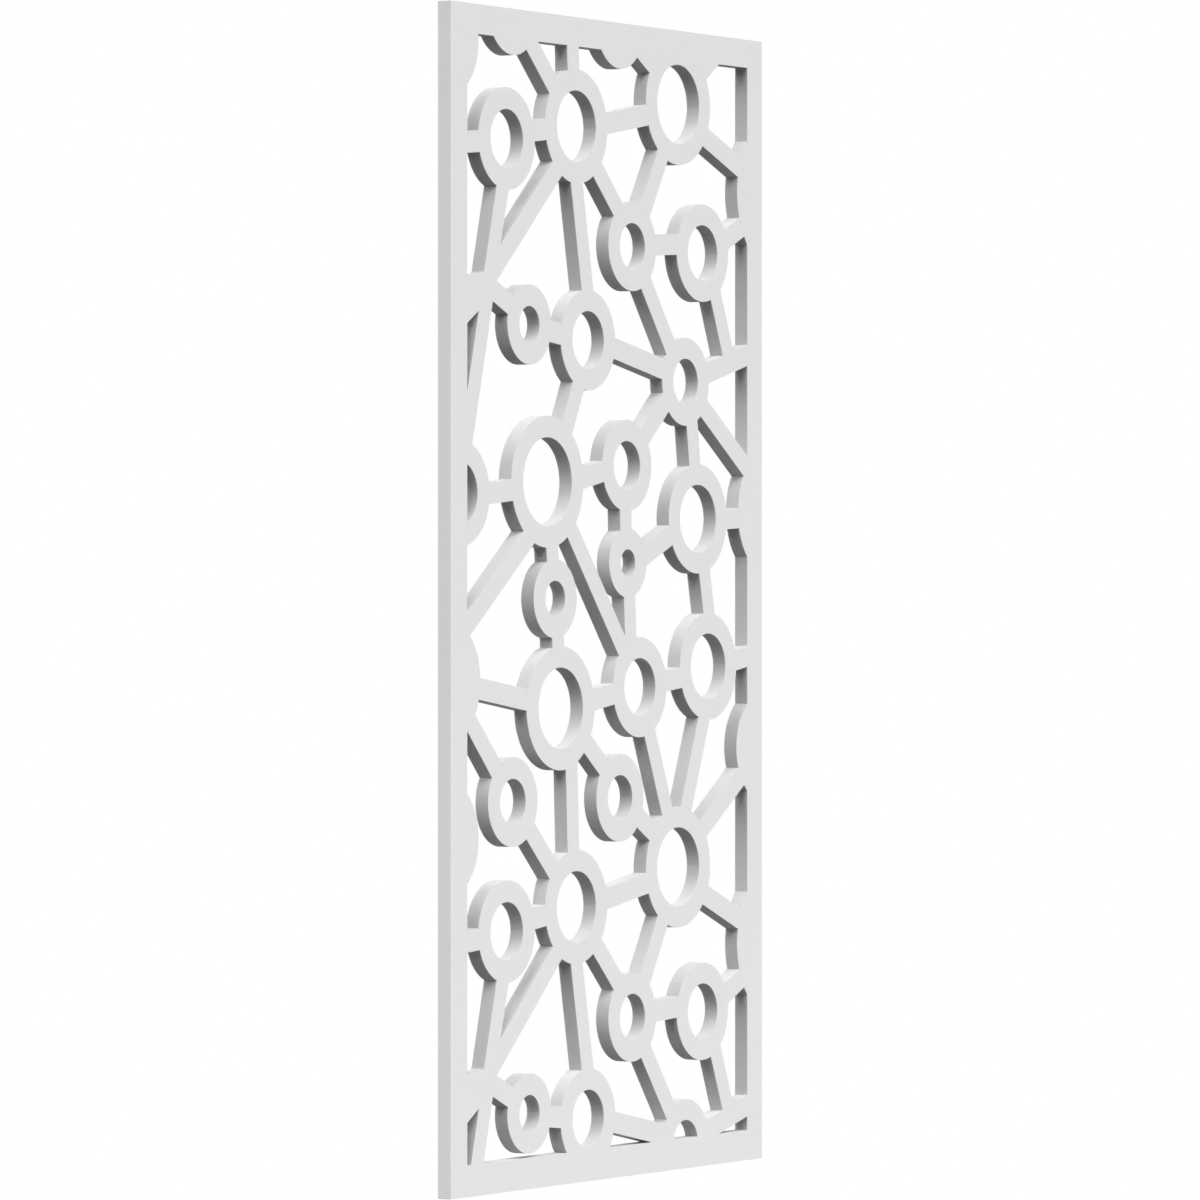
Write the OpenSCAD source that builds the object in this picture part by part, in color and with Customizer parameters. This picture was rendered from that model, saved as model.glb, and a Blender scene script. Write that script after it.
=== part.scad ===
// Hanging room divider panel: a border of two stiles and two rails, filled with a
// fretwork of round rings and straight bars, all of one thickness and flush on both
// faces. Every bar is coped to the rings it meets and held by hidden dowels. The panel
// hangs from two threaded inserts in its top edge.
// Millimetres. The origin is the middle of the top edge; X runs across the panel,
// the front face looks towards -Y, and Z is up, so the panel lies below the origin.

/* [Panel] */
// Width over both stiles
panel_w = 900; // [860:10:1200]
// Height over both rails
panel_h = 1800; // [1300:10:2400]
// Thickness of every member, front to back
panel_t = 23; // [18:1:32]
// Width of each upright stile
stile_w = 45; // [40:1:60]
// Width of the top rail
top_rail_w = 45; // [40:1:60]
// Width of the bottom rail
bottom_rail_w = 48; // [40:1:60]

/* [Fretwork] */
// Height after which the pattern of rings and bars repeats, in an opening 810 wide
repeat_h = 1205.5; // [1200:0.5:1300]
// Width of a ring's wall, from bore to rim
ring_wall = 33; // [26:1:36]
// Width of every straight bar
bar_w = 33; // [26:1:36]
// Diameter of the solid hub where six bars meet
hub_d = 80; // [70:1:100]

/* [Dowels] */
// Diameter of the dowels that hold bars and rings
dowel_d = 8; // [6:1:10]
// Depth that such a dowel goes into each member
dowel_depth = 14; // [10:1:16]
// Length below which a bar has one dowel right through it, in an opening 810 wide
short_bar = 40; // [38:1:43]
// Distance of a solid edge disc's dowels above and below its centre
disc_dowel_rise = 30; // [25:1:35]
// Diameter of the two dowels in each corner of the border
corner_dowel_d = 10; // [8:1:12]
// Length of a corner dowel, half in the rail and half in the stile
corner_dowel_l = 60; // [40:2:70]
// Distance of the outer corner dowel from the end of the stile, clear of the fretwork
corner_dowel_edge = 11; // [9:1:14]
// Distance between the two dowels of a corner
corner_dowel_gap = 13; // [13:1:20]
// Room for glue around a dowel
glue_gap = 0.1; // [0.05:0.05:0.2]
// Room past the end of a dowel
end_room = 1; // [0.5:0.5:2]
// Glue line between two bars that touch side by side
glue_line = 0.05; // [0.05:0.05:0.2]

/* [Hanging inserts] */
// Distance between the two threaded inserts in the top edge
insert_spacing = 600; // [300:10:700]
// Outer diameter of an insert
insert_d = 12; // [10:0.5:14]
// Length of an insert, flush with the top edge
insert_l = 20; // [15:1:25]
// Diameter of the insert's thread
thread_d = 8; // [5:1:8]

/* [Hidden] */

// Finishes: paint over the wood, bare beech dowels, brass inserts
paint = [0.93, 0.93, 0.92];
beech = "BurlyWood";
brass = "Goldenrod";

$fn = 96;

// Edges of the opening inside the border, as distances across and down
left_in = stile_w - panel_w / 2;
right_in = panel_w / 2 - stile_w;
top_in = top_rail_w;
bottom_in = panel_h - bottom_rail_w;

// A place on the panel is [distance across from the middle, distance down from the top
// edge, outer diameter of the round piece there]. The pattern is drawn for an opening 810
// wide and a repeat of 1205.5. It grows and shrinks with the opening's width, so that it
// always reaches from stile to stile, and it draws together downwards with the repeat.
scaled = (right_in - left_in) / 810;
drawn = repeat_h / 1205.5;
function place(across, down, d) = scaled * [across, down * drawn, d * min(1, drawn)];

// The rings of one repeat
ring_a = place(-297, 198.5, 156);
ring_b = place(-101.5, 168.5, 177);
ring_c = place(195.5, 116.5, 191.5);
ring_d = place(60, 347, 139.5);
ring_e = place(268.5, 348.5, 155);
ring_f = place(-234, 479, 122.5);
ring_g = place(-68, 497.5, 156);
ring_h = place(217.5, 554.5, 139.5);
ring_i = place(-183, 718.5, 202.5);
ring_j = place(44, 690, 143);
ring_k = place(254.5, 771, 174);
ring_l = place(47, 842, 108.5);
ring_m = place(-161.5, 898, 121.5);
ring_n = place(-146, 1066.5, 191.5);
ring_o = place(82, 1036.5, 157);
ring_p = place(285.5, 1005.5, 170.5);
ring_q = place(-280, 1207.5, 137);
ring_r = place(24, 1208.5, 137);
rings = [
    ring_a, ring_b, ring_c, ring_d, ring_e, ring_f, ring_g, ring_h, ring_i,
    ring_j, ring_k, ring_l, ring_m, ring_n, ring_o, ring_p, ring_q, ring_r
];

// The hub, which has no bore
hub_v = place(-345.5, 423.5, hub_d);

// Round pieces whose centre lies behind a stile, so that only their edge shows
edge_s = place(-425, 739, 162);
edge_t = place(-465, 1022, 191.5);
edge_u = place(-465, 1260.5, 181.5);
edge_x = place(461, 1136.5, 179);
edge_y = place(501, 246, 254);
edge_z = place(481, 759, 209);
edge_discs = [edge_t, edge_u, edge_x, edge_y, edge_z];
edges = concat([edge_s], edge_discs);

// Where bars end on the stiles, as distances down, and where one stands on another bar
left_end_a = 209.5;
left_end_v = 426.5;
left_end_v_low = 463;
left_end_i = 937.5;
right_end_h = 507;
right_end_h_low = 688.5;
right_end_p = 990.5;
foot_e = 354;

// A bar's end on a stile, given by the distance down, or on another bar, by the distance
// across
function on_left(down) = [left_in, place(0, down, 0).y, 0];
function on_right(down) = [right_in, place(0, down, 0).y, 0];
function on_bar(bar, across) =
    let (p = along(bar, (across * scaled - start(bar).x) / aim(bar).x)) [p.x, -p.y, bar_w];

// The same place in a lower repeat of the pattern
function lower(place, n = 1) = [place.x, place.y + n * repeat_h * scaled, place.z];

// The bars of one repeat: [from, to, how far the middle line passes to the right of the
// first centre, and of the second]. A later bar is cut to the earlier ones that it meets.
carrier = [ring_h, on_right(right_end_h), 1, 0];
bars = [
    carrier,
    [ring_a, ring_b, -7.5, -0.5], [ring_a, hub_v, -8, 2], [ring_a, on_left(left_end_a), -2, 0],
    [ring_b, ring_c, 5.5, 6.5], [ring_b, ring_d, 3, -11], [ring_b, ring_g, 15.5, -13],
    [ring_b, hub_v, -13, 8],
    [ring_c, ring_d, -2.5, -2.5], [ring_c, edge_y, 13.5, 7.5],
    [ring_d, ring_e, -1.5, -15], [ring_d, ring_h, 1.5, 4],
    [ring_e, edge_y, 8, 2.5], [ring_e, on_bar(carrier, foot_e), -12, 2],
    [ring_f, hub_v, 5, -1], [ring_f, ring_g, 2, 2],
    [ring_g, ring_h, -4.5, -5], [ring_g, ring_i, -6.5, -13],
    [ring_h, on_right(right_end_h_low), 1, 0], [ring_h, ring_j, 13.5, 1], [ring_h, ring_k, -10.5, -2.5],
    [ring_i, edge_s, -5, -7], [ring_i, ring_j, 13, -3.5], [ring_i, on_left(left_end_i), -35, -1],
    [ring_i, ring_m, 0, -1], [ring_i, ring_o, -7, 0],
    [ring_j, ring_l, 6, 4],
    [ring_k, ring_l, 7, -8.5], [ring_k, edge_z, 4, 4], [ring_k, ring_p, -2.5, -20.5],
    [ring_l, ring_o, -2, 22],
    [ring_m, ring_n, -2, -2],
    [ring_n, edge_t, 0.5, 1], [ring_n, ring_o, 2.5, -1.5], [ring_n, ring_r, -2.5, -9.5],
    [ring_n, lower(ring_b), -27.5, 5],
    [ring_o, ring_p, 0, 8], [ring_o, lower(ring_c), 0.5, -4],
    [ring_p, lower(ring_c), -18, 11], [ring_p, on_right(right_end_p), 5, 0],
    [ring_q, edge_t, 1, 8], [ring_q, lower(ring_b), -1, 3],
    [ring_r, lower(ring_c), -0.5, -12],
    [hub_v, edge_s, 0.5, 2.5], [hub_v, on_left(left_end_v), 3, 0], [hub_v, on_left(left_end_v_low), -2, 0],
    [edge_x, lower(ring_c), 4.5, 5]
];

// The middle line of a bar, in the plane of the panel
function flat(place) = [place.x, -place.y];
function unit(v) = v / norm(v);
function right_of(dir) = [dir.y, -dir.x];
function heading(bar) = unit(flat(bar[1]) - flat(bar[0]));
function start(bar) = flat(bar[0]) + scaled * bar[2] * right_of(heading(bar));
function finish(bar) = flat(bar[1]) + scaled * bar[3] * right_of(heading(bar));
function aim(bar) = unit(finish(bar) - start(bar));
function along(bar, s) = start(bar) + s * aim(bar);

// How far it is from a point inside a circle to the rim, in a direction
function to_rim(centre, r, point, dir) =
    let (w = point - centre, t = w * dir) sqrt(max(0, r * r - w * w + t * t)) - t;

// Where a line enters and leaves a range of one coordinate
far = 10 * panel_h;
function enter(p, d, low, high) = abs(d) < 0.001 ? -far : min((low - p) / d, (high - p) / d);
function leave(p, d, low, high) = abs(d) < 0.001 ? far : max((low - p) / d, (high - p) / d);

// The visible stretch of a bar's middle line, as distances from its start
function stretch(bar) =
    let (
        p = start(bar), d = aim(bar), l = norm(finish(bar) - p),
        rim_0 = to_rim(flat(bar[0]), bar[0].z / 2, p, d),
        rim_1 = l - to_rim(flat(bar[1]), bar[1].z / 2, finish(bar), -d)
    )
    [
        max(rim_0, enter(p.x, d.x, left_in, right_in), enter(p.y, d.y, -bottom_in, -top_in)),
        min(rim_1, leave(p.x, d.x, left_in, right_in), leave(p.y, d.y, -bottom_in, -top_in))
    ];

// The repeats that reach into the opening, and every bar that shows there
repeats = [-1 : ceil(panel_h / lower([0, 0, 0]).y)];
least_show = 3;
function length_shown(bar) = let (s = stretch(bar)) s[1] - s[0];
function lower_bar(bar, n) = [lower(bar[0], n), lower(bar[1], n), bar[2], bar[3]];
all_bars = [
    for (bar = bars) for (n = repeats)
        let (copy = lower_bar(bar, n)) if (length_shown(copy) > least_show) copy
];

function same(a, b) = norm(a - b) < 0.01;
function meets(bar, place) = same(bar[0], place) || same(bar[1], place);
function off_line(point, bar) =
    let (p = start(bar), d = aim(bar), s = min(max((point - p) * d, 0), norm(finish(bar) - p)))
    norm(point - p - s * d);

// A bar's dowels, as stretches of its middle line: one at each end, or one right
// through a short bar
function is_short(bar) = length_shown(bar) < short_bar * scaled;
function dowels(bar) =
    let (s = stretch(bar), deep = dowel_depth)
    is_short(bar)
        ? [[s[0] - deep, s[1] + deep]]
        : [[s[0] - deep, s[0] + deep], [s[1] - deep, s[1] + deep]];
function pins(bar) = [for (d = dowels(bar)) [along(bar, d[0]), along(bar, d[1])]];
all_pins = [for (bar = all_bars) each pins(bar)];

// Which round pieces show in the opening
function shows(place) =
    let (r = place.z / 2 - least_show)
    place.x + r > left_in && place.x - r < right_in && place.y + r > top_in && place.y - r < bottom_in;

// Dowels between the border and a round piece that it cuts, as [across, down, tilt]: in
// the middle of each foot of a ring, or at a set rise from the centre of a solid disc, and
// none where a bar's dowel is in the way
function foot_rise(place, off, bored) =
    bored ? sqrt(max(0, pow((place.z - ring_wall) / 2, 2) - off * off)) : disc_dowel_rise;
function is_cut(place, off) = abs(off) < place.z / 2 - least_show;
function on_opening(p) = p.x >= left_in && p.x <= right_in && p.y >= top_in && p.y <= bottom_in;
function to_pin(point, pin) =
    let (run = pin[1] - pin[0], t = min(max((point - pin[0]) * run / (run * run), 0), 1))
    norm(point - pin[0] - t * run);
function is_free(p) =
    let (
        reach = dowel_depth * [sin(p.z), cos(p.z)], middle = flat(p),
        gaps = [for (pin = all_pins) for (k = [-1, 0, 1]) to_pin(middle + k * reach, pin)]
    )
    min(gaps) > dowel_d + end_room;
function pegs(place, bored) = [
    for (side = [left_in, right_in]) for (sign = [-1, 1])
        let (off = place.x - side, p = [side, place.y + sign * foot_rise(place, off, bored), 90])
        if (is_cut(place, off) && on_opening(p) && is_free(p)) p,
    for (side = [top_in, bottom_in]) for (sign = [-1, 1])
        let (off = place.y - side, p = [place.x + sign * foot_rise(place, off, bored), side, 0])
        if (is_cut(place, off) && on_opening(p) && is_free(p)) p
];
function all_of(place, bored) =
    [for (n = repeats) if (shows(lower(place, n))) each pegs(lower(place, n), bored)];
border_pegs = [
    for (ring = concat(rings, [edge_s])) each all_of(ring, true),
    for (disc = edge_discs) each all_of(disc, false)
];

// The dowels in the corners of the border
corner_pegs = [
    for (side = [left_in, right_in]) for (k = [0, 1])
        let (in = corner_dowel_edge + k * corner_dowel_gap)
        each [[side, in, 90], [side, panel_h - in, 90]]
];

// A flat member of the panel, standing up, cut to a drawing of its outline
module member() {
    rotate([90, 0, 0]) linear_extrude(panel_t, center = true) children();
}

module opening() {
    translate([left_in, -bottom_in]) square([right_in - left_in, bottom_in - top_in]);
}

module round_outline(place) {
    translate(flat(place)) circle(d = place.z);
}

// A bar before it is cut to what it meets, as wide as asked; it runs on behind a stile
module strip(bar, w = bar_w) {
    ahead = bar[1].z == 0 ? 2 * bar_w : 0;
    l = norm(finish(bar) - start(bar));
    dir = aim(bar);
    translate(start(bar)) rotate(atan2(dir.y, dir.x)) translate([0, -w / 2]) square([l + ahead, w]);
}

// A round rod along a stretch of a bar's middle line
module rod(bar, from, to, d) {
    dir = aim(bar);
    at = along(bar, from);
    translate([at.x, 0, at.y]) rotate([0, 90 - atan2(dir.y, dir.x), 0])
        cylinder(d = d, h = to - from);
}

// A round rod across an edge of the opening, half in the border and half inside
module peg(p, l, d) {
    translate([p.x, 0, -p.y]) rotate([0, p.z, 0]) cylinder(d = d, h = l, center = true);
}

module dowel_holes(bar) {
    for (d = dowels(bar)) rod(bar, d[0] - end_room, d[1] + end_room, dowel_d + 2 * glue_gap);
}

module peg_hole(p) {
    peg(p, 2 * (dowel_depth + end_room), dowel_d + 2 * glue_gap);
}

// A round piece in every repeat that shows it: a ring, or a solid disc without a bore
module round_piece(place, bored) {
    color(paint) for (n = repeats) {
        at = lower(place, n);
        if (shows(at)) difference() {
            member() difference() {
                intersection() {
                    opening();
                    round_outline(at);
                }
                if (bored) translate(flat(at)) circle(d = at.z - 2 * ring_wall);
            }
            for (bar = all_bars) if (reaches(bar, at)) dowel_holes(bar);
            for (p = pegs(at, bored)) peg_hole(p);
        }
    }
}
function near(place, point) = norm(flat(place) - point) < place.z;
function reaches(bar, place) = meets(bar, place) || (bar[1].z == 0 && near(place, finish(bar)));

// The hub: a block with a stub for each bar that meets there
module hub() {
    color(paint) for (n = repeats) {
        at = lower(hub_v, n);
        if (shows(at)) difference() {
            member() intersection() {
                opening();
                round_outline(at);
                union() {
                    for (bar = all_bars) if (meets(bar, at)) strip(bar);
                }
            }
            for (bar = all_bars) if (meets(bar, at)) dowel_holes(bar);
        }
    }
}

// One bar, coped to the round pieces at its ends and cut to the earlier bars it meets
module fitted_bar(index) {
    bar = all_bars[index];
    difference() {
        member() difference() {
            intersection() {
                opening();
                strip(bar);
            }
            for (place = [bar[0], bar[1]]) if (place.z > 0) round_outline(place);
            for (edge = edges) for (n = repeats)
                if (reaches(bar, lower(edge, n))) round_outline(lower(edge, n));
            for (j = [0 : 1 : index - 1])
                if (joins(bar, all_bars[j])) strip(all_bars[j], bar_w + 2 * glue_line);
        }
        for (other = all_bars) if (bites(other, bar)) dowel_holes(other);
    }
}
function stands_on(bar, other) = bar[1].z == bar_w && off_line(flat(bar[1]), other) < 1;
function joins(bar, other) =
    meets(other, bar[0]) || meets(other, bar[1]) || stands_on(bar, other) || stands_on(other, bar);
function bites(other, bar) =
    joins(bar, other)
    && min([for (pin = pins(other)) for (tip = pin) off_line(tip, bar)]) < (bar_w + dowel_d) / 2 + glue_gap;

// The bars that come down from one round piece, in every repeat
module bars_from(place) {
    color(paint) for (index = [0 : len(all_bars) - 1]) for (n = repeats)
        if (same(all_bars[index][0], lower(place, n))) fitted_bar(index);
}

// A stile or a rail between two opposite corners, each [across, down]
module border(corner, size) {
    color(paint) difference() {
        member() translate([corner.x, -corner.y - size.y]) square(size);
        for (bar = all_bars) for (pin = pins(bar))
            if (inside(pin[0], corner, size, dowel_d) || inside(pin[1], corner, size, dowel_d))
                dowel_holes(bar);
        for (p = border_pegs) if (inside(flat(p), corner, size, dowel_d)) peg_hole(p);
        for (p = corner_pegs) peg(p, corner_dowel_l + 2 * end_room, corner_dowel_d + 2 * glue_gap);
    }
}
function inside(point, corner, size, room) =
    point.x > corner.x - room && point.x < corner.x + size.x + room
    && -point.y > corner.y - room && -point.y < corner.y + size.y + room;

module left_stile() {
    border([-panel_w / 2, 0], [stile_w, panel_h]);
}

module right_stile() {
    border([right_in, 0], [stile_w, panel_h]);
}

module insert_hole() {
    for (side = [-1, 1]) translate([side * insert_spacing / 2, 0, -insert_l - end_room])
        cylinder(d = insert_d + 2 * glue_gap, h = insert_l + 2 * end_room);
}

module top_rail() {
    color(paint) difference() {
        border([left_in, 0], [right_in - left_in, top_rail_w]);
        insert_hole();
    }
}

module bottom_rail() {
    border([left_in, bottom_in], [right_in - left_in, bottom_rail_w]);
}

module hanging_inserts() {
    color(brass) for (side = [-1, 1]) translate([side * insert_spacing / 2, 0, -insert_l])
        difference() {
            cylinder(d = insert_d, h = insert_l);
            translate([0, 0, -end_room]) cylinder(d = thread_d, h = insert_l + 2 * end_room);
        }
}

module end_dowels() {
    color(beech) for (bar = all_bars) if (!is_short(bar))
        for (d = dowels(bar)) rod(bar, d[0], d[1], dowel_d);
}

module through_dowels() {
    color(beech) for (bar = all_bars) if (is_short(bar))
        for (d = dowels(bar)) rod(bar, d[0], d[1], dowel_d);
}

module border_dowels() {
    color(beech) for (p = border_pegs) peg(p, 2 * dowel_depth, dowel_d);
}

module corner_dowels() {
    color(beech) for (p = corner_pegs) peg(p, corner_dowel_l, corner_dowel_d);
}

left_stile();
right_stile();
top_rail();
bottom_rail();
round_piece(ring_a, true);
round_piece(ring_b, true);
round_piece(ring_c, true);
round_piece(ring_d, true);
round_piece(ring_e, true);
round_piece(ring_f, true);
round_piece(ring_g, true);
round_piece(ring_h, true);
round_piece(ring_i, true);
round_piece(ring_j, true);
round_piece(ring_k, true);
round_piece(ring_l, true);
round_piece(ring_m, true);
round_piece(ring_n, true);
round_piece(ring_o, true);
round_piece(ring_p, true);
round_piece(ring_q, true);
round_piece(ring_r, true);
round_piece(edge_s, true);  // edge_ring_s
round_piece(edge_t, false);  // edge_disc_t
round_piece(edge_u, false);  // edge_disc_u
round_piece(edge_x, false);  // edge_disc_x
round_piece(edge_y, false);  // edge_disc_y
round_piece(edge_z, false);  // edge_disc_z
hub();  // hub_v
bars_from(ring_a);  // bars_from_a
bars_from(ring_b);  // bars_from_b
bars_from(ring_c);  // bars_from_c
bars_from(ring_d);  // bars_from_d
bars_from(ring_e);  // bars_from_e
bars_from(ring_f);  // bars_from_f
bars_from(ring_g);  // bars_from_g
bars_from(ring_h);  // bars_from_h
bars_from(ring_i);  // bars_from_i
bars_from(ring_j);  // bars_from_j
bars_from(ring_k);  // bars_from_k
bars_from(ring_l);  // bars_from_l
bars_from(ring_m);  // bars_from_m
bars_from(ring_n);  // bars_from_n
bars_from(ring_o);  // bars_from_o
bars_from(ring_p);  // bars_from_p
bars_from(ring_q);  // bars_from_q
bars_from(ring_r);  // bars_from_r
bars_from(hub_v);  // bars_from_v
bars_from(edge_x);  // bars_from_x
end_dowels();
through_dowels();
border_dowels();
corner_dowels();
hanging_inserts();
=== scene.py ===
import bpy
from math import radians
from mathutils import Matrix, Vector


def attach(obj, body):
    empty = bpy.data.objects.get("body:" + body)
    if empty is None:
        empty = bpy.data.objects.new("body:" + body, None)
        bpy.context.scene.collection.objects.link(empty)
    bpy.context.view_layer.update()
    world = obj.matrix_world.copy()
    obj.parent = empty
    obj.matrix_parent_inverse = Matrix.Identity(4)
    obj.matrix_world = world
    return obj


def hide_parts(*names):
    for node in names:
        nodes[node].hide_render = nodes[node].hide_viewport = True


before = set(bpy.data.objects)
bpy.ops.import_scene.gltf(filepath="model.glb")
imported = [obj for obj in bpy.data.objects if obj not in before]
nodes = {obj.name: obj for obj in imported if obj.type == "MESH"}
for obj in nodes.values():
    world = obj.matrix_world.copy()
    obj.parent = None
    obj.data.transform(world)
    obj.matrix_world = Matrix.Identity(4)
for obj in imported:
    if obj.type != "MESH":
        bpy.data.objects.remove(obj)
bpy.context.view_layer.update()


# The camera. It stands to the left in front of the panel, level with its middle and far
# away, so that the front runs off to the right and the edge of the left stile shows.
panel_middle_z = -0.9
camera_turn = -57.3884
camera_data = bpy.data.cameras.new("camera")
camera_data.sensor_width = 36
camera_data.lens = 204.12
camera_data.clip_end = 60
camera = bpy.data.objects.new("camera", camera_data)
camera.location = (-8.932, -5.7045, panel_middle_z)
camera.rotation_euler = (radians(90), 0, radians(camera_turn))
bpy.context.scene.collection.objects.link(camera)
bpy.context.scene.camera = camera
bpy.context.scene.view_settings.view_transform = "Standard"


# The floor. A plain pale disc well below the hanging panel, which takes its soft shadow.
# It throws little light back on the panel, and from below it can be seen through.
floor_r = 4
floor_z = -2.4
bpy.ops.object.select_all(action="DESELECT")
bpy.ops.mesh.primitive_circle_add(
    vertices=128, radius=floor_r, fill_type="NGON", location=(0, 0, floor_z)
)
floor = bpy.context.object
floor.name = "floor"
bpy.ops.object.transform_apply(location=True)

floor_paint = bpy.data.materials.new("pale_floor")
floor_paint.use_nodes = True
tree = floor_paint.node_tree
tree.nodes.clear()
seen = tree.nodes.new("ShaderNodeBsdfDiffuse")
seen.inputs["Color"].default_value = (0.525, 0.525, 0.525, 1)
unseen = tree.nodes.new("ShaderNodeBsdfDiffuse")
unseen.inputs["Color"].default_value = (0.12, 0.12, 0.12, 1)
clear = tree.nodes.new("ShaderNodeBsdfTransparent")
path = tree.nodes.new("ShaderNodeLightPath")
side = tree.nodes.new("ShaderNodeNewGeometry")
by_ray = tree.nodes.new("ShaderNodeMixShader")
by_side = tree.nodes.new("ShaderNodeMixShader")
output = tree.nodes.new("ShaderNodeOutputMaterial")
tree.links.new(path.outputs["Is Camera Ray"], by_ray.inputs["Fac"])
tree.links.new(unseen.outputs["BSDF"], by_ray.inputs[1])
tree.links.new(seen.outputs["BSDF"], by_ray.inputs[2])
tree.links.new(side.outputs["Backfacing"], by_side.inputs["Fac"])
tree.links.new(by_ray.outputs["Shader"], by_side.inputs[1])
tree.links.new(clear.outputs["BSDF"], by_side.inputs[2])
tree.links.new(by_side.outputs["Shader"], output.inputs["Surface"])
floor.data.materials.append(floor_paint)


# The room. Its background is white to the camera and in reflections, and gives no light
# to the panel: that comes from the lamps alone.
world = bpy.data.worlds.new("room")
bpy.context.scene.world = world
world.use_nodes = True
tree = world.node_tree
tree.nodes.clear()
white = tree.nodes.new("ShaderNodeBackground")
white.inputs["Color"].default_value = (1, 1, 1, 1)
white.inputs["Strength"].default_value = 1
dark = tree.nodes.new("ShaderNodeBackground")
dark.inputs["Color"].default_value = (0, 0, 0, 1)
path = tree.nodes.new("ShaderNodeLightPath")
mirrored = tree.nodes.new("ShaderNodeMath")
mirrored.operation = "MAXIMUM"
tree.links.new(path.outputs["Is Camera Ray"], mirrored.inputs[0])
tree.links.new(path.outputs["Is Glossy Ray"], mirrored.inputs[1])
shown = tree.nodes.new("ShaderNodeMath")
shown.operation = "MAXIMUM"
tree.links.new(mirrored.outputs["Value"], shown.inputs[0])
tree.links.new(path.outputs["Is Transmission Ray"], shown.inputs[1])
by_ray = tree.nodes.new("ShaderNodeMixShader")
output = tree.nodes.new("ShaderNodeOutputWorld")
tree.links.new(shown.outputs["Value"], by_ray.inputs["Fac"])
tree.links.new(dark.outputs["Background"], by_ray.inputs[1])
tree.links.new(white.outputs["Background"], by_ray.inputs[2])
tree.links.new(by_ray.outputs["Shader"], output.inputs["Surface"])


# The lamps. Large soft ones stand high in front and high to the left, and weaker ones low
# to the left, behind and to the right. Each is told by where it stands and its strength.
lamp_spread = radians(50)
soft_lamps = [
    ("front_high", (0, -1, 1.2), 3.80),
    ("left_high", (-1, 0, 1), 3.02),
    ("left_low", (-1, -0.25, 0.1), 0.22),
    ("back", (0.3, 1, 0.2), 1.80),
    ("right", (1, 0.5, 0.3), 1.00),
]
for name, stands, strength in soft_lamps:
    data = bpy.data.lights.new(name, "SUN")
    data.energy = strength
    data.angle = lamp_spread
    lamp = bpy.data.objects.new(name, data)
    lamp.rotation_euler = Vector(stands).to_track_quat("Z", "Y").to_euler()
    bpy.context.scene.collection.objects.link(lamp)

# A tall narrow lamp far to the left, in the plane of the panel, brightens the outer edge
# of the left stile, which shades the rest of the fretwork from it.
edge_lamp_h = 3.0
edge_lamp_w = 0.2
edge_lamp_x = -6
data = bpy.data.lights.new("edge_lamp", "AREA")
data.shape = "RECTANGLE"
data.size = edge_lamp_h
data.size_y = edge_lamp_w
data.energy = 72
lamp = bpy.data.objects.new("edge_lamp", data)
lamp.location = (edge_lamp_x, 0, panel_middle_z)
lamp.rotation_euler = (0, radians(-90), 0)
lamp.visible_camera = False
bpy.context.scene.collection.objects.link(lamp)


# The painted border: two upright stiles with the rails between them, planed wood under a
# matt pale grey-white paint. The paint has the fine stipple of a roller, is a little rougher
# where it sank into the cut edges, and the grain shows very faintly. The cut edges are also
# painted about a third darker: painted shade for the walls inside the openings.
paler = (0.803, 0.803, 0.803, 1)
darker = (0.775, 0.775, 0.775, 1)
# painted shade: the cut edges are multiplied by this grey, about a third darker than the faces
painted_wall_shade = (0.65, 0.65, 0.65, 1)
film_relief = 0.00016

# the film on all of it: stipple and nibs of dust stand up, and its sheen varies in clouds
paint = bpy.data.node_groups.new("paint_film", "ShaderNodeTree")
paint.interface.new_socket("Vector", in_out="INPUT", socket_type="NodeSocketVector")
paint.interface.new_socket("Cut Edge", in_out="INPUT", socket_type="NodeSocketFloat")
paint.interface.new_socket("Tone", in_out="OUTPUT", socket_type="NodeSocketFloat")
paint.interface.new_socket("Roughness", in_out="OUTPUT", socket_type="NodeSocketFloat")
paint.interface.new_socket("Height", in_out="OUTPUT", socket_type="NodeSocketFloat")
entry = paint.nodes.new("NodeGroupInput")
result = paint.nodes.new("NodeGroupOutput")
stipple = paint.nodes.new("ShaderNodeTexNoise")
stipple.inputs["Scale"].default_value = 700
stipple.inputs["Detail"].default_value = 3
stipple.inputs["Roughness"].default_value = 0.55
cloud = paint.nodes.new("ShaderNodeTexNoise")
cloud.inputs["Scale"].default_value = 5
cloud.inputs["Detail"].default_value = 4
cloud.inputs["Roughness"].default_value = 0.6
nibs = paint.nodes.new("ShaderNodeTexVoronoi")
nibs.inputs["Scale"].default_value = 160
nib_mask = paint.nodes.new("ShaderNodeMapRange")
nib_mask.inputs["From Min"].default_value = 0.10
nib_mask.inputs["From Max"].default_value = 0.04
for texture in (stipple, cloud, nibs):
    paint.links.new(entry.outputs["Vector"], texture.inputs["Vector"])
paint.links.new(nibs.outputs["Distance"], nib_mask.inputs["Value"])
height = paint.nodes.new("ShaderNodeMath")
height.operation = "MULTIPLY_ADD"
height.inputs[1].default_value = 0.5
paint.links.new(nib_mask.outputs["Result"], height.inputs[0])
paint.links.new(stipple.outputs["Fac"], height.inputs[2])
rough = paint.nodes.new("ShaderNodeMapRange")
rough.inputs["From Min"].default_value = 0.3
rough.inputs["From Max"].default_value = 0.7
rough.inputs["To Min"].default_value = 0.74
rough.inputs["To Max"].default_value = 0.86
paint.links.new(cloud.outputs["Fac"], rough.inputs["Value"])
sunk = paint.nodes.new("ShaderNodeMath")
sunk.operation = "MULTIPLY_ADD"
sunk.inputs[1].default_value = 0.06
paint.links.new(entry.outputs["Cut Edge"], sunk.inputs[0])
paint.links.new(rough.outputs["Result"], sunk.inputs[2])
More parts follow.
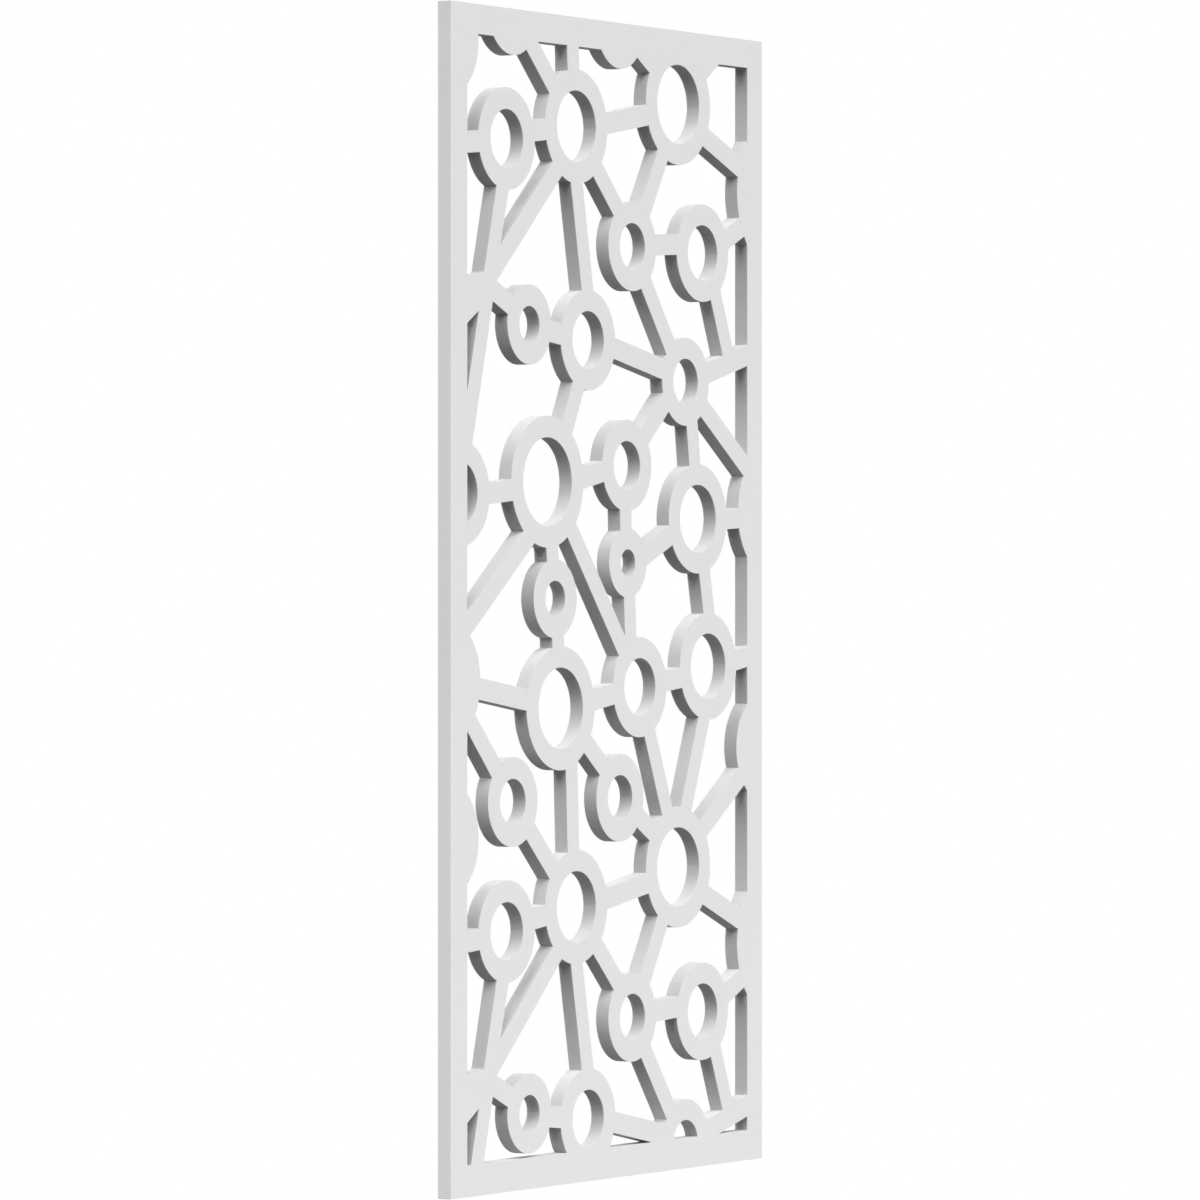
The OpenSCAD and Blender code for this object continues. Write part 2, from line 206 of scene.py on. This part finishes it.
paint.links.new(cloud.outputs["Fac"], result.inputs["Tone"])
paint.links.new(sunk.outputs["Value"], result.inputs["Roughness"])
paint.links.new(height.outputs["Value"], result.inputs["Height"])

# the cut edges: every surface that doesn't face to the front or back, with the marks that
# the cutter left across the thickness
cut = bpy.data.node_groups.new("cut_edge", "ShaderNodeTree")
cut.interface.new_socket("Mask", in_out="OUTPUT", socket_type="NodeSocketFloat")
cut.interface.new_socket("Height", in_out="OUTPUT", socket_type="NodeSocketFloat")
result = cut.nodes.new("NodeGroupOutput")
place = cut.nodes.new("ShaderNodeTexCoord")
lying = cut.nodes.new("ShaderNodeSeparateXYZ")
cut.links.new(place.outputs["Normal"], lying.inputs["Vector"])
flat_on = cut.nodes.new("ShaderNodeMath")
flat_on.operation = "ABSOLUTE"
cut.links.new(lying.outputs["Y"], flat_on.inputs[0])
edge = cut.nodes.new("ShaderNodeMapRange")
edge.inputs["From Min"].default_value = 0.7
edge.inputs["From Max"].default_value = 0.3
cut.links.new(flat_on.outputs["Value"], edge.inputs["Value"])
drawn_out = cut.nodes.new("ShaderNodeMapping")
drawn_out.inputs["Scale"].default_value = (420, 18, 420)
cut.links.new(place.outputs["Object"], drawn_out.inputs["Vector"])
tool_marks = cut.nodes.new("ShaderNodeTexNoise")
tool_marks.inputs["Scale"].default_value = 1
tool_marks.inputs["Detail"].default_value = 2
cut.links.new(drawn_out.outputs["Vector"], tool_marks.inputs["Vector"])
only_there = cut.nodes.new("ShaderNodeMath")
only_there.operation = "MULTIPLY"
cut.links.new(tool_marks.outputs["Fac"], only_there.inputs[0])
cut.links.new(edge.outputs["Result"], only_there.inputs[1])
cut.links.new(edge.outputs["Result"], result.inputs["Mask"])
cut.links.new(only_there.outputs["Value"], result.inputs["Height"])

# the grain, drawn out along each piece by the material that uses it
grain = bpy.data.node_groups.new("grain_under_paint", "ShaderNodeTree")
grain.interface.new_socket("Vector", in_out="INPUT", socket_type="NodeSocketVector")
grain.interface.new_socket("Streaks", in_out="OUTPUT", socket_type="NodeSocketFloat")
entry = grain.nodes.new("NodeGroupInput")
result = grain.nodes.new("NodeGroupOutput")
streaks = grain.nodes.new("ShaderNodeTexNoise")
streaks.inputs["Scale"].default_value = 1
streaks.inputs["Detail"].default_value = 5
streaks.inputs["Roughness"].default_value = 0.6
streaks.inputs["Distortion"].default_value = 0.3
grain.links.new(entry.outputs["Vector"], streaks.inputs["Vector"])
grain.links.new(streaks.outputs["Fac"], result.inputs["Streaks"])


def painted(name, stretch, grain_shows):
    made = bpy.data.materials.new(name)
    made.use_nodes = True
    tree = made.node_tree
    shader = tree.nodes["Principled BSDF"]
    shader.inputs["Specular IOR Level"].default_value = 0.05
    place = tree.nodes.new("ShaderNodeTexCoord")
    film = tree.nodes.new("ShaderNodeGroup")
    film.node_tree = paint
    walls = tree.nodes.new("ShaderNodeGroup")
    walls.node_tree = cut
    wood = tree.nodes.new("ShaderNodeGroup")
    wood.node_tree = grain
    along = tree.nodes.new("ShaderNodeMapping")
    along.inputs["Scale"].default_value = stretch
    tree.links.new(place.outputs["Object"], film.inputs["Vector"])
    tree.links.new(place.outputs["Object"], along.inputs["Vector"])
    tree.links.new(along.outputs["Vector"], wood.inputs["Vector"])
    tree.links.new(walls.outputs["Mask"], film.inputs["Cut Edge"])
    tone = tree.nodes.new("ShaderNodeMath")
    tone.operation = "MULTIPLY_ADD"
    tone.inputs[1].default_value = grain_shows
    tree.links.new(wood.outputs["Streaks"], tone.inputs[0])
    tree.links.new(film.outputs["Tone"], tone.inputs[2])
    colour = tree.nodes.new("ShaderNodeMix")
    colour.data_type = "RGBA"
    colour.inputs["A"].default_value = darker
    colour.inputs["B"].default_value = paler
    tree.links.new(tone.outputs["Value"], colour.inputs["Factor"])
    # painted shade: the colour is darkened on the cut edges, the walls of the openings
    wall_shade_mix = tree.nodes.new("ShaderNodeMix")
    wall_shade_mix.data_type = "RGBA"
    wall_shade_mix.blend_type = "MULTIPLY"
    wall_shade_mix.inputs["B"].default_value = painted_wall_shade
    tree.links.new(walls.outputs["Mask"], wall_shade_mix.inputs["Factor"])
    tree.links.new(colour.outputs["Result"], wall_shade_mix.inputs["A"])
    tree.links.new(wall_shade_mix.outputs["Result"], shader.inputs["Base Color"])
    tree.links.new(film.outputs["Roughness"], shader.inputs["Roughness"])
    relief = tree.nodes.new("ShaderNodeMath")
    relief.operation = "MULTIPLY_ADD"
    relief.inputs[1].default_value = grain_shows
    tree.links.new(wood.outputs["Streaks"], relief.inputs[0])
    tree.links.new(film.outputs["Height"], relief.inputs[2])
    marked = tree.nodes.new("ShaderNodeMath")
    marked.operation = "MULTIPLY_ADD"
    marked.inputs[1].default_value = 0.8
    tree.links.new(walls.outputs["Height"], marked.inputs[0])
    tree.links.new(relief.outputs["Value"], marked.inputs[2])
    bump = tree.nodes.new("ShaderNodeBump")
    bump.inputs["Strength"].default_value = 0.7
    bump.inputs["Distance"].default_value = film_relief
    tree.links.new(marked.outputs["Value"], bump.inputs["Height"])
    tree.links.new(bump.outputs["Normal"], shader.inputs["Normal"])
    return made


def finish_nodes(names, material):
    for name in names:
        mesh = nodes[name].data
        mesh.materials.clear()
        mesh.materials.append(material)


upright = painted("painted_stiles", stretch=(220, 220, 9), grain_shows=0.6)
finish_nodes(["left_stile", "right_stile"], upright)
level = painted("painted_rails", stretch=(9, 220, 220), grain_shows=0.6)
finish_nodes(["top_rail", "bottom_rail"], level)


# The rings, the discs behind the stiles and the hub, turned or sawn from boards that are
# as thick as the border. They are dowelled to what they touch and painted with it.
round_kinds = ("ring_", "edge_ring_", "edge_disc_", "hub_")
round_pieces = [name for name in nodes if name.startswith(round_kinds)]
rounds = painted("painted_rings", stretch=(60, 200, 30), grain_shows=0.3)
finish_nodes(round_pieces, rounds)


# The straight bars between the rings, coped to them at both ends, with a hidden dowel in
# each joint, filled and painted over so that no joint shows.
bars = [name for name in nodes if name.startswith("bars_from_")]
finish_nodes(bars, painted("painted_bars", stretch=(90, 200, 90), grain_shows=0.4))


# The beech dowels in the joints. They are bare and don't show in the finished panel.
beech = bpy.data.materials.new("bare_beech")
beech.use_nodes = True
tree = beech.node_tree
shader = tree.nodes["Principled BSDF"]
shader.inputs["Roughness"].default_value = 0.6
place = tree.nodes.new("ShaderNodeTexCoord")
flecks = tree.nodes.new("ShaderNodeTexNoise")
flecks.inputs["Scale"].default_value = 400
flecks.inputs["Detail"].default_value = 6
colour = tree.nodes.new("ShaderNodeMix")
colour.data_type = "RGBA"
colour.inputs["A"].default_value = (0.50, 0.33, 0.18, 1)
colour.inputs["B"].default_value = (0.62, 0.44, 0.27, 1)
tree.links.new(place.outputs["Object"], flecks.inputs["Vector"])
tree.links.new(flecks.outputs["Fac"], colour.inputs["Factor"])
tree.links.new(colour.outputs["Result"], shader.inputs["Base Color"])
finish_nodes(["end_dowels", "through_dowels", "border_dowels", "corner_dowels"], beech)


# The two threaded inserts that the panel hangs from, turned from brass and screwed into
# the top rail, flush with its edge. Each has a head with a slot for the driver, a coarse
# knife thread outside that bites into the wood, and an M8 thread inside.
insert_at = 0.300
insert_l = 0.020
head_r = 0.006
head_h = 0.0028
body_r = 0.005
bore_r = 0.004
rim_round = 0.0003
slot_l = 0.014
slot_w = 0.0016
slot_d = 0.0018
hair = 0.0001


def pick_faces(piece, test):
    bpy.ops.mesh.select_all(action="DESELECT")
    bpy.ops.object.mode_set(mode="OBJECT")
    for face in piece.data.polygons:
        face.select = test(face.center, face.normal)
    bpy.ops.object.mode_set(mode="EDIT")


def pick_edges(piece, test):
    bpy.ops.mesh.select_all(action="DESELECT")
    bpy.ops.mesh.select_mode(type="EDGE")
    bpy.ops.object.mode_set(mode="OBJECT")
    points = piece.data.vertices
    for edge in piece.data.edges:
        start, end = (points[i].co for i in edge.vertices)
        edge.select = test(start, end)
    bpy.ops.object.mode_set(mode="EDIT")


def round_the_rim(start, end):
    at_top = min(start.z, end.z) > -hair
    return at_top and abs(start.xy.length - end.xy.length) < hair


def thread(name, radius, height, apex, top, bottom, pitch):
    bpy.ops.object.select_all(action="DESELECT")
    bpy.ops.mesh.primitive_circle_add(
        vertices=3, radius=height, rotation=(radians(90), radians(apex), 0)
    )
    ridge = bpy.context.object
    ridge.name = name
    bpy.ops.transform.translate(value=(radius, 0, bottom))
    bpy.ops.object.transform_apply(location=True, rotation=True)
    turns = round((top - bottom) / pitch)
    screw = ridge.modifiers.new("screw", "SCREW")
    screw.axis = "Z"
    screw.screw_offset = (top - bottom) / turns
    screw.iterations = turns
    screw.steps = 40
    screw.use_merge_vertices = True
    screw.merge_threshold = 0.000001
    bpy.ops.object.modifier_apply(modifier="screw")
    bpy.ops.object.mode_set(mode="EDIT")
    bpy.ops.mesh.select_all(action="SELECT")
    bpy.ops.mesh.fill_holes(sides=3)
    bpy.ops.mesh.normals_make_consistent(inside=False)
    bpy.ops.object.mode_set(mode="OBJECT")
    return ridge


# the body with its wider head, and the bore right through
bpy.ops.object.select_all(action="DESELECT")
body_l = insert_l - head_h
bpy.ops.mesh.primitive_cylinder_add(
    vertices=80, radius=body_r, depth=body_l, location=(0, 0, body_l / 2 - insert_l)
)
insert = bpy.context.object
insert.name = "threaded_insert_left"
bpy.ops.object.transform_apply(location=True)
bpy.ops.object.mode_set(mode="EDIT")
bpy.ops.mesh.select_mode(type="FACE")
pick_faces(insert, lambda at, facing: facing.z > 0.9)
bpy.ops.mesh.extrude_region_move()
bpy.ops.transform.resize(value=(head_r / body_r, head_r / body_r, 1))
bpy.ops.mesh.extrude_region_move(TRANSFORM_OT_translate={"value": (0, 0, head_h)})
bpy.ops.mesh.inset(thickness=head_r - bore_r)
pick_faces(insert, lambda at, facing: facing.z < -0.9 and at.z < hair - insert_l)
bpy.ops.mesh.inset(thickness=body_r - bore_r)
pick_faces(insert, lambda at, facing: abs(facing.z) > 0.9 and at.xy.length < hair)
bpy.ops.mesh.bridge_edge_loops()
pick_edges(insert, round_the_rim)
bpy.ops.mesh.bevel(offset=rim_round, segments=2, affect="EDGES")
bpy.ops.mesh.select_all(action="SELECT")
bpy.ops.mesh.normals_make_consistent(inside=False)
bpy.ops.object.mode_set(mode="OBJECT")

# the slot across the head
bpy.ops.object.select_all(action="DESELECT")
bpy.ops.mesh.primitive_cube_add(size=1, scale=(slot_l, slot_w, 2 * slot_d))
cutter = bpy.context.object
bpy.ops.object.transform_apply(scale=True)
slot = insert.modifiers.new("slot", "BOOLEAN")
slot.object = cutter
slot.solver = "MANIFOLD"
bpy.context.view_layer.objects.active = insert
bpy.ops.object.modifier_apply(modifier="slot")
bpy.data.objects.remove(cutter)

# the two threads: a three-sided ridge, its point outwards or inwards, wound down the body
knife = thread(
    "knife_thread", radius=0.0052, height=0.0007, apex=90, top=-0.004, bottom=-0.019, pitch=0.003
)
inner = thread(
    "inner_thread", radius=0.00385, height=0.0005, apex=-90, top=-0.0026, bottom=-0.0192,
    pitch=0.00125,
)
bpy.ops.object.select_all(action="DESELECT")
for piece in (knife, inner, insert):
    piece.select_set(True)
bpy.context.view_layer.objects.active = insert
bpy.ops.object.join()
bpy.ops.object.shade_smooth_by_angle(angle=radians(35))

# Turned brass: fine rings from the lathe round each insert's own middle, and a little
# darker where fingers and air have dulled it.
brass = bpy.data.materials.new("turned_brass")
brass.use_nodes = True
tree = brass.node_tree
shader = tree.nodes["Principled BSDF"]
shader.inputs["Metallic"].default_value = 1
place = tree.nodes.new("ShaderNodeTexCoord")
parted = tree.nodes.new("ShaderNodeSeparateXYZ")
either_side = tree.nodes.new("ShaderNodeMath")
either_side.operation = "ABSOLUTE"
from_middle = tree.nodes.new("ShaderNodeMath")
from_middle.operation = "SUBTRACT"
from_middle.inputs[1].default_value = insert_at
centred = tree.nodes.new("ShaderNodeCombineXYZ")
tree.links.new(place.outputs["Object"], parted.inputs["Vector"])
tree.links.new(parted.outputs["X"], either_side.inputs[0])
tree.links.new(either_side.outputs["Value"], from_middle.inputs[0])
tree.links.new(from_middle.outputs["Value"], centred.inputs["X"])
tree.links.new(parted.outputs["Y"], centred.inputs["Y"])
tree.links.new(parted.outputs["Z"], centred.inputs["Z"])
rings = tree.nodes.new("ShaderNodeTexWave")
rings.wave_type = "RINGS"
rings.rings_direction = "Z"
rings.inputs["Scale"].default_value = 1500
rings.inputs["Distortion"].default_value = 0.4
tree.links.new(centred.outputs["Vector"], rings.inputs["Vector"])
bump = tree.nodes.new("ShaderNodeBump")
bump.inputs["Strength"].default_value = 0.25
bump.inputs["Distance"].default_value = 0.00001
tree.links.new(rings.outputs["Fac"], bump.inputs["Height"])
tree.links.new(bump.outputs["Normal"], shader.inputs["Normal"])
dulled = tree.nodes.new("ShaderNodeTexNoise")
dulled.inputs["Scale"].default_value = 350
dulled.inputs["Detail"].default_value = 4
tree.links.new(place.outputs["Object"], dulled.inputs["Vector"])
colour = tree.nodes.new("ShaderNodeMix")
colour.data_type = "RGBA"
colour.inputs["A"].default_value = (0.82, 0.62, 0.30, 1)
colour.inputs["B"].default_value = (0.66, 0.46, 0.20, 1)
tree.links.new(dulled.outputs["Fac"], colour.inputs["Factor"])
tree.links.new(colour.outputs["Result"], shader.inputs["Base Color"])
shine = tree.nodes.new("ShaderNodeMapRange")
shine.inputs["To Min"].default_value = 0.24
shine.inputs["To Max"].default_value = 0.46
tree.links.new(dulled.outputs["Fac"], shine.inputs["Value"])
tree.links.new(shine.outputs["Result"], shader.inputs["Roughness"])

# both in their places, each turned as it happened to stop
bpy.ops.object.duplicate()
other = bpy.context.object
other.name = "threaded_insert_right"
for piece, across, turned in ((insert, -insert_at, 25), (other, insert_at, -40)):
    bpy.ops.object.select_all(action="DESELECT")
    piece.select_set(True)
    bpy.context.view_layer.objects.active = piece
    bpy.ops.transform.rotate(value=radians(turned), orient_axis="Z", center_override=(0, 0, 0))
    bpy.ops.transform.translate(value=(across, 0, 0))
    bpy.ops.object.transform_apply(location=True, rotation=True)
    piece.data.materials.clear()
    piece.data.materials.append(brass)
    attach(piece, "root")
    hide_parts("hanging_inserts")
